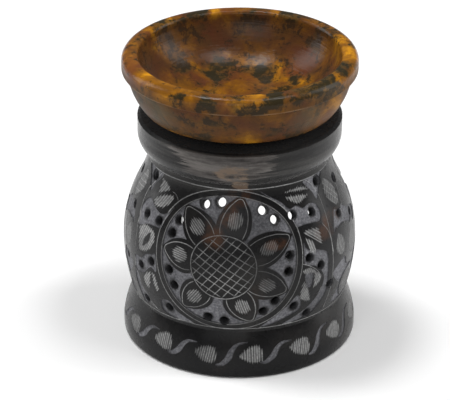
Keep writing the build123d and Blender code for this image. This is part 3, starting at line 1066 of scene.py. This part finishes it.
class Nodes:
    """Short ways to add and link a material's nodes."""

    def __init__(self, name):
        self.material = bpy.data.materials.new(name)
        self.material.use_nodes = True
        self.tree = self.material.node_tree
        self.shader = self.tree.nodes["Principled BSDF"]
        self.place = self.tree.nodes.new("ShaderNodeTexCoord").outputs["Object"]

    def put(self, socket, value):
        if isinstance(value, bpy.types.NodeSocket):
            self.tree.links.new(value, socket)
        elif isinstance(value, (tuple, list)) and len(value) == 3 and len(socket.default_value) == 4:
            socket.default_value = (*value, 1)
        else:
            socket.default_value = value

    def set(self, **inputs):
        for name, value in inputs.items():
            self.put(self.shader.inputs[name.replace("_", " ")], value)

    def stretched(self, scale, place=None):
        node = self.tree.nodes.new("ShaderNodeMapping")
        self.put(node.inputs["Vector"], place or self.place)
        node.inputs["Scale"].default_value = scale
        return node.outputs["Vector"]

    def vector(self, operation, first, second):
        node = self.tree.nodes.new("ShaderNodeVectorMath")
        node.operation = operation
        self.put(node.inputs[0], first)
        self.put(node.inputs[1], second)
        return node.outputs["Vector"]

    def warped(self, scale, reach):
        """A place that noise moves about, by up to half a reach each way."""
        node = self.tree.nodes.new("ShaderNodeTexNoise")
        self.put(node.inputs["Vector"], self.place)
        node.inputs["Scale"].default_value = scale
        node.inputs["Detail"].default_value = 6.0
        node.inputs["Roughness"].default_value = 0.65
        shift = self.vector("SUBTRACT", node.outputs["Color"], (0.5, 0.5, 0.5))
        return self.vector("ADD", self.place, self.vector("MULTIPLY", shift, (reach * MM,) * 3))

    def turning(self, fine, broad):
        """A place in which noise runs in lines round the axis, as a lathe leaves them."""
        level = self.tree.nodes.new("ShaderNodeVectorMath")
        level.operation = "MULTIPLY"
        self.put(level.inputs[0], self.place)
        level.inputs[1].default_value = (1, 1, 0)
        radius = self.tree.nodes.new("ShaderNodeVectorMath")
        radius.operation = "LENGTH"
        self.put(radius.inputs[0], level.outputs["Vector"])
        split = self.tree.nodes.new("ShaderNodeSeparateXYZ")
        self.put(split.inputs[0], self.place)
        joined = self.tree.nodes.new("ShaderNodeCombineXYZ")
        self.put(joined.inputs["X"], self.math("MULTIPLY", radius.outputs["Value"], fine))
        self.put(joined.inputs["Y"], self.math("MULTIPLY", split.outputs["Z"], fine))
        self.put(joined.inputs["Z"], self.math("MULTIPLY", split.outputs["X"], broad))
        return joined.outputs["Vector"]

    def noise(self, scale, detail=4.0, rough=0.55, warp=0.0, place=None):
        node = self.tree.nodes.new("ShaderNodeTexNoise")
        self.put(node.inputs["Vector"], place or self.place)
        node.inputs["Scale"].default_value = scale
        node.inputs["Detail"].default_value = detail
        node.inputs["Roughness"].default_value = rough
        node.inputs["Distortion"].default_value = warp
        return node.outputs["Fac"]

    def ramp(self, value, *stops):
        node = self.tree.nodes.new("ShaderNodeValToRGB")
        self.put(node.inputs["Fac"], value)
        elements = node.color_ramp.elements
        while len(elements) < len(stops):
            elements.new(0.5)
        for element, (place, color) in zip(elements, stops):
            element.position = place
            element.color = (*color, 1) if isinstance(color, tuple) else (color, color, color, 1)
        return node.outputs["Color"]

    def mix(self, share, first, second):
        node = self.tree.nodes.new("ShaderNodeMix")
        node.data_type = "RGBA"
        self.put(node.inputs["Factor"], share)
        self.put(node.inputs["A"] if False else node.inputs[6], first)
        self.put(node.inputs[7], second)
        return node.outputs[2]

    def math(self, operation, first, second):
        node = self.tree.nodes.new("ShaderNodeMath")
        node.operation = operation
        self.put(node.inputs[0], first)
        self.put(node.inputs[1], second)
        return node.outputs[0]

    def spot(self, centre, reach, place=None):
        """1 near a centre and 0 beyond a reach that differs along each axis."""
        node = self.tree.nodes.new("ShaderNodeVectorMath")
        node.operation = "DISTANCE"
        self.put(node.inputs[0], self.stretched([1 / (r * MM) for r in reach], place))
        node.inputs[1].default_value = [c / r for c, r in zip(centre, reach)]
        return self.ramp(node.outputs["Value"], (0.45, 1.0), (1.0, 0.0))

    def spots(self, stains, place=None):
        """The most that any of several spots gives."""
        first, *others = (self.spot(*stain, place) for stain in stains)
        for other in others:
            first = self.math("MAXIMUM", first, other)
        return first

    def attribute(self, name):
        node = self.tree.nodes.new("ShaderNodeAttribute")
        node.attribute_name = name
        return node.outputs["Fac"]

    def height(self, low, high):
        """0 below a height and 1 above another."""
        node = self.tree.nodes.new("ShaderNodeSeparateXYZ")
        self.put(node.inputs[0], self.place)
        span = self.tree.nodes.new("ShaderNodeMapRange")
        span.interpolation_type = "SMOOTHSTEP"
        self.put(span.inputs["Value"], node.outputs["Z"])
        span.inputs["From Min"].default_value = low * MM
        span.inputs["From Max"].default_value = high * MM
        return span.outputs["Result"]

    def bump(self, height, distance, strength=1.0, under=None):
        node = self.tree.nodes.new("ShaderNodeBump")
        node.inputs["Strength"].default_value = strength
        node.inputs["Distance"].default_value = distance * MM
        self.put(node.inputs["Height"], height)
        if under:
            self.put(node.inputs["Normal"], under)
        return node.outputs["Normal"]


# Stains and scuffs on the front of the body: centre and reach along each axis
SCUFF = ((-1, -36, 84.5), (24, 40, 15))
TAN_STAINS = (((1.5, -35, 78), (11, 40, 6)), ((4, -33, 73), (5, 40, 5)))
FAINT_SIDE = ((14, -38, 46), (12, 30, 17))  # where the scratches are fainter, on the right of the medallion seen from the front
DULL_GROUND = ((11, -36, 59.5), (11, 24, 7))  # where the scraped ground is dark
RUST_STAINS = (
    ((-5, -38, 55), (5, 30, 6)),
    ((0, -36, 62), (4, 30, 7)),
    ((3.7, -33, 68), (6, 30, 4)),
    ((17, -36, 51.5), (5, 30, 2.5)),
    ((33.5, -21, 52.5), (5, 24, 5)),
)


# Ochre, dark, red and grey areas of the bowl
BOWL_OCHRE = (
    ((9.5, -39.5, 108.5), (6, 4, 3)),
    ((38, 0, 109), (5, 6, 4)),
    ((0, 12.5, 90), (8, 6, 4)),
    ((8.5, -35, 92), (8, 6, 3.5)),
    ((-31, -26, 109), (7, 8, 4)),
    ((-13.5, 34, 109), (3, 5, 3)),
    ((-3, 36.5, 109), (3.5, 5, 3)),
    ((24, 31, 109), (6, 6, 3)),
    ((-19, 21.5, 94), (6, 5, 4)),
    ((0, 28, 95.5), (14, 7, 5)),
)
BOWL_DARK = (
    ((-17, 31, 104), (5, 6, 5)),
    ((-15, 29, 98.5), (6, 5, 4)),
    ((0, 35, 104), (9, 5, 4)),
    ((24, 25, 102), (5, 6, 5)),
    ((-24, 15, 94), (5, 6, 4)),
    ((-11, 18, 90.5), (5, 3.5, 3)),
    ((5.5, 22.5, 91.5), (3, 3, 3)),
    ((-17, 11, 90.5), (5, 5, 3)),
    ((19, 16.5, 92.5), (4, 4, 3)),
    ((36.5, -10, 109), (5, 6, 4)),
    ((31.5, -20, 109), (5, 5, 4)),
    ((17.5, -38, 107), (4, 5, 5)),
    ((9.5, -41, 105.5), (8, 4, 2)),
    ((-16, -38, 107.5), (5, 4, 3)),
    ((-6, -41, 106.5), (5, 4, 3.5)),
    ((-7, -38, 98.5), (5, 5, 3)),
    ((16, -34, 95.5), (7, 5, 3)),
    ((-9, -35, 91), (6, 5, 2.5)),
    ((-18, 34, 109), (3.5, 5, 3)),
    ((2, 37, 109), (4, 5, 3)),
    ((15.5, 36, 109), (6, 5, 3)),
)
BOWL_RED = (((20, 22, 96), (11, 9, 7)), ((-14, -37, 101), (7, 6, 5)), ((28, 12, 100), (8, 9, 8)))
BOWL_GREY = (((-27, -27, 97), (14, 14, 9)), ((26, -28, 98), (9, 9, 7)))


def black_stone():
    n = Nodes("black_stone")
    cloud = n.noise(38, 7, 0.6, 0.4)
    polished = n.ramp(cloud, (0.34, (0.0048, 0.0048, 0.0054)), (0.55, (0.0078, 0.0075, 0.0077)), (0.78, (0.026, 0.024, 0.022)))
    streak = n.noise(1, 6, 0.65, 0.0, n.stretched((26, 26, 620)))
    neck = n.math("SUBTRACT", n.height(66.5, 72), n.height(84.8, 85.4))
    turned_part = n.math("MULTIPLY", neck, n.ramp(streak, (0.44, 0.08), (0.64, 0.42)))
    polished = n.mix(turned_part, polished, (0.112, 0.108, 0.101))
    torn = n.ramp(streak, (0.34, 0.0), (0.66, 0.9))
    scuff = n.ramp(n.math("ADD", n.spot(*SCUFF), torn), (0.90, 0.0), (1.0, 0.9))
    scuff = n.math("MULTIPLY", neck, scuff)
    scuffed = n.ramp(
        n.noise(1, 6, 0.65, 0.0, n.stretched((44, 44, 340))),
        (0.38, (0.028, 0.024, 0.022)), (0.50, (0.080, 0.072, 0.067)), (0.62, (0.160, 0.147, 0.137)),
    )
    polished = n.mix(scuff, polished, scuffed)
    tan = n.math("MULTIPLY", n.spots(TAN_STAINS), 0.45)
    tan = n.ramp(n.math("ADD", tan, n.noise(1, 7, 0.7, 0.3, n.stretched((70, 70, 240)))), (0.83, 0.0), (0.93, 0.85))
    polished = n.mix(tan, polished, (0.173, 0.124, 0.087))
    ragged = n.ramp(n.noise(150, 6, 0.7), (0.40, 0.0), (0.56, 0.85))
    rust = n.math("MAXIMUM", n.ramp(n.noise(24, 5, 0.6, 0.8), (0.62, 0.0), (0.78, 0.4)), n.spots(RUST_STAINS))
    polished = n.mix(n.math("MULTIPLY", rust, ragged), polished, (0.062, 0.026, 0.012))
    grain = n.noise(1300, 3, 0.6)
    scraped = n.ramp(grain, (0.32, (0.09, 0.09, 0.099)), (0.5, (0.158, 0.158, 0.171)), (0.72, (0.27, 0.27, 0.285)))
    scraped = n.mix(n.ramp(n.noise(60, 4), (0.4, 0.0), (0.75, 0.6)), scraped, polished)
    scraped = n.mix(n.math("MULTIPLY", n.spot(*DULL_GROUND), 0.5), scraped, polished)
    scratched = n.ramp(grain, (0.3, (0.255, 0.255, 0.258)), (0.6, (0.51, 0.51, 0.503)))
    ground = n.attribute("ground")
    faint = n.ramp(n.noise(48, 4), (0.28, 0.3), (0.55, 1.0))
    faint = n.mix(n.spot(*FAINT_SIDE), faint, (0.3, 0.3, 0.3))
    scratch = n.math("MULTIPLY", n.attribute("scratch"), faint)
    color = n.mix(scratch, n.mix(ground, polished, scraped), scratched)
    worn = n.math("MAXIMUM", ground, scratch)
    gloss = n.ramp(n.noise(220, 5, 0.6), (0.3, 0.20), (0.7, 0.34))
    fine = n.bump(grain, 0.05, 0.5)
    lines = n.bump(n.noise(1, 4, 0.6, 0.0, n.stretched((9, 9, 1500))), 0.03, 0.35, fine)
    n.set(Base_Color=color, Roughness=n.mix(worn, gloss, (0.82, 0.82, 0.82)), Normal=lines, Specular_IOR_Level=0.14)
    n.set(Sheen_Weight=0.08, Sheen_Roughness=0.5)
    return n.material


def ochre_stone():
    n = Nodes("ochre_stone")
    ragged = n.warped(105, 15)
    ochre = n.spots(BOWL_OCHRE, ragged)
    darker = n.math("SUBTRACT", n.spots(BOWL_DARK, ragged), ochre)
    cloud = n.math("SUBTRACT", n.noise(80, 6, 0.58, 0.6), n.math("MULTIPLY", darker, 0.085))
    color = n.ramp(
        cloud, (0.34, (0.083, 0.035, 0.012)), (0.44, (0.158, 0.063, 0.009)), (0.52, (0.24, 0.093, 0.0075)),
        (0.60, (0.352, 0.141, 0.0075)), (0.70, (0.69, 0.3, 0.009)),
    )
    brown = n.ramp(n.noise(42, 6, 0.6, 0.4), (0.46, 0.0), (0.60, 0.8))
    color = n.mix(brown, color, (0.102, 0.039, 0.015))
    redder = n.math("SUBTRACT", n.spots(BOWL_RED, ragged), ochre)
    red = n.math("ADD", n.noise(36, 5, 0.6, 0.5), n.math("MULTIPLY", redder, 0.11))
    color = n.mix(n.ramp(red, (0.52, 0.0), (0.66, 0.7)), color, (0.150, 0.040, 0.017))
    patches = n.math("ADD", n.noise(58, 6, 0.64, 0.5), n.math("MULTIPLY", darker, 0.13))
    color = n.mix(n.ramp(patches, (0.50, 0.0), (0.62, 0.65)), color, (0.083, 0.056, 0.016))
    fine = n.noise(280, 8, 0.72, 0.3)
    flecks = n.math("ADD", n.math("MULTIPLY", patches, 0.48), n.math("MULTIPLY", fine, 0.52))
    specks = n.ramp(n.noise(330, 6, 0.7), (0.59, 0.0), (0.65, 0.75))
    dark = n.math("MAXIMUM", n.ramp(flecks, (0.512, 0.0), (0.565, 0.92)), specks)
    color = n.mix(dark, color, (0.024, 0.0205, 0.0105))
    outside = n.attribute("outside")
    # Painted shade, partly duller stone: the outside wall, which faces down away from the lamps, is painted darker.
    color = n.mix(n.math("MULTIPLY", outside, 0.55), color, (0.026, 0.0115, 0.003))
    # Painted shade: the hollow's steep walls, which get less of the overhead light, are painted darker than its floor
    # and rim.
    color = n.mix(n.math("MULTIPLY", n.attribute("hollow"), 0.5), color, (0.054, 0.024, 0.0135))
    grey = n.math("MULTIPLY", n.spots(BOWL_GREY), n.ramp(n.noise(70, 6, 0.65, 0.4), (0.38, 0.1), (0.60, 0.75)))
    color = n.mix(grey, color, (0.082, 0.064, 0.036))
    # Painted highlight, partly wear: a lighter line along the lower corner of the rim band, where the worn corner
    # catches light.
    edge = n.math("SUBTRACT", n.height(RIM_LOW[1] - 0.4, RIM_LOW[1]), n.height(RIM_LOW[1] + 0.1, RIM_LOW[1] + 0.6))
    edge = n.math("MULTIPLY", edge, n.ramp(n.noise(90, 5), (0.42, 0.0), (0.62, 0.4)))
    color = n.mix(n.math("MULTIPLY", outside, edge), color, (0.34, 0.22, 0.12))
    gloss = n.ramp(n.noise(300, 5, 0.6), (0.3, 0.11), (0.7, 0.22))
    lines = n.bump(n.noise(1, 5, 0.7, 0.0, n.turning(900, 50)), 0.22, 0.65)
    surface_grain = n.bump(n.noise(700, 4), 0.04, 0.4, lines)
    n.set(Base_Color=color, Roughness=n.mix(outside, gloss, (0.5, 0.5, 0.5)), Normal=surface_grain)
    n.set(Specular_IOR_Level=0.13)
    return n.material


def cup_foil():
    n = Nodes("cup_foil")
    drawn = n.noise(1, 4, 0.6, 0.0, n.stretched((700, 700, 30)))
    tone = n.ramp(drawn, (0.3, (0.66, 0.66, 0.67)), (0.7, (0.82, 0.82, 0.83)))
    dents = n.bump(n.noise(70, 2), 0.12, 0.3)
    grooves = n.bump(drawn, 0.03, 0.3, dents)
    n.set(Base_Color=tone, Metallic=1.0, Roughness=n.ramp(n.noise(500, 3), (0.3, 0.26), (0.7, 0.38)), Normal=grooves)
    return n.material


def wax_white():
    n = Nodes("wax")
    tone = n.ramp(n.noise(120, 5), (0.3, (0.84, 0.82, 0.75)), (0.7, (0.93, 0.92, 0.87)))
    n.set(Base_Color=tone, Roughness=n.ramp(n.noise(400, 3), (0.3, 0.38), (0.7, 0.52)), Subsurface_Weight=0.3)
    n.set(Subsurface_Radius=(0.004, 0.003, 0.002), Normal=n.bump(n.noise(260, 5), 0.08, 0.4))
    return n.material


def sustainer_tin():
    n = Nodes("sustainer_tin")
    brushed = n.noise(1, 4, 0.6, 0.0, n.stretched((300, 2400, 300)))
    tone = n.ramp(brushed, (0.3, (0.56, 0.56, 0.57)), (0.7, (0.74, 0.74, 0.75)))
    n.set(Base_Color=tone, Metallic=1.0, Roughness=n.ramp(brushed, (0.3, 0.3), (0.7, 0.45)))
    return n.material


def wick_cotton():
    n = Nodes("wick_cotton")
    fibres = n.noise(1, 5, 0.6, 0.0, n.stretched((5200, 5200, 1500)))
    tone = n.ramp(fibres, (0.3, (0.62, 0.58, 0.49)), (0.65, (0.88, 0.85, 0.77)))
    n.set(Base_Color=tone, Roughness=n.ramp(fibres, (0.3, 0.85), (0.7, 0.95)), Normal=n.bump(fibres, 0.06, 0.6))
    return n.material


PIECES = (
    (body, "burner", "burner_body", "black_stone", black_stone),
    (bowl, "bowl", "oil_bowl", "ochre_stone", ochre_stone),
    (cup, "tealight", "tealight_cup", "cup_foil", cup_foil),
    (wax, "tealight", "tealight_wax", "wax", wax_white),
    (sustainer, "tealight", "wick_sustainer", "sustainer_tin", sustainer_tin),
    (wick, "tealight", "tealight_wick", "wick_cotton", wick_cotton),
)
for piece, rides_on, node_name, slot_name, make_material in PIECES:
    piece.data.materials.clear()
    piece.data.materials.append(make_material())
    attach(piece, rides_on)
    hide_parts(node_name)


def floor_stage():
    floor = new_object("floor", [(-9000, -9000, 0), (9000, -9000, 0), (9000, 9000, 0), (-9000, 9000, 0)], [(0, 1, 2, 3)])
    n = Nodes("floor_white")
    tone = n.ramp(n.noise(3, 2), (0.3, (0.95, 0.95, 0.95)), (0.7, (0.97, 0.97, 0.97)))
    n.set(Base_Color=tone, Roughness=0.9)
    floor.data.materials.append(n.material)


def area_light(name, place, target, size, power):
    data = bpy.data.lights.new(name, "AREA")
    data.shape = "RECTANGLE"
    data.size, data.size_y = (s * MM for s in size)
    data.energy = power
    lamp = bpy.data.objects.new(name, data)
    lamp.location = Vector(place) * MM
    lamp.rotation_euler = (Vector(target) - Vector(place)).to_track_quat("-Z", "Y").to_euler()
    bpy.context.collection.objects.link(lamp)


CAMERA_DISTANCE = 932.0
CAMERA_ELEVATION = 26.92
CAMERA_AZIMUTH = 6.5
CAMERA_AIM_Z = 49.9
CAMERA_SHIFT = 5.26  # to the camera's left
CAMERA_LENS = 205.5


def camera():
    turn, rise = math.radians(CAMERA_AZIMUTH), math.radians(CAMERA_ELEVATION)
    right = Vector((math.cos(turn), math.sin(turn), 0))
    aim = Vector((0, 0, CAMERA_AIM_Z)) - CAMERA_SHIFT * right
    away = Vector((math.sin(turn) * math.cos(rise), -math.cos(turn) * math.cos(rise), math.sin(rise)))
    data = bpy.data.cameras.new("camera")
    data.lens = CAMERA_LENS
    data.sensor_width = 36.0
    data.clip_start = 0.05
    obj = bpy.data.objects.new("camera", data)
    obj.location = (aim + CAMERA_DISTANCE * away) * MM
    obj.rotation_euler = (-away).to_track_quat("-Z", "Y").to_euler()
    bpy.context.collection.objects.link(obj)
    bpy.context.scene.camera = obj


floor_stage()
area_light("left_key", (-560, 120, 2450), (0, 0, 50), (560, 420), 25.0)
area_light("right_key", (680, -150, 2400), (0, 0, 50), (560, 420), 18.0)
area_light("fill", (-300, -2375, 1200), (0, 0, 40), (2000, 1250), 15.7)
area_light("left_strip", (-1750, 375, 875), (0, 0, 50), (750, 1750), 17.0)
area_light("right_strip", (1750, 375, 875), (0, 0, 50), (750, 1750), 17.0)
world = bpy.data.worlds.new("studio")
world.use_nodes = True
world.node_tree.nodes["Background"].inputs["Color"].default_value = (1, 1, 1, 1)
world.node_tree.nodes["Background"].inputs["Strength"].default_value = 0.15
bpy.context.scene.world = world
bpy.context.scene.view_settings.view_transform = "Standard"
camera()
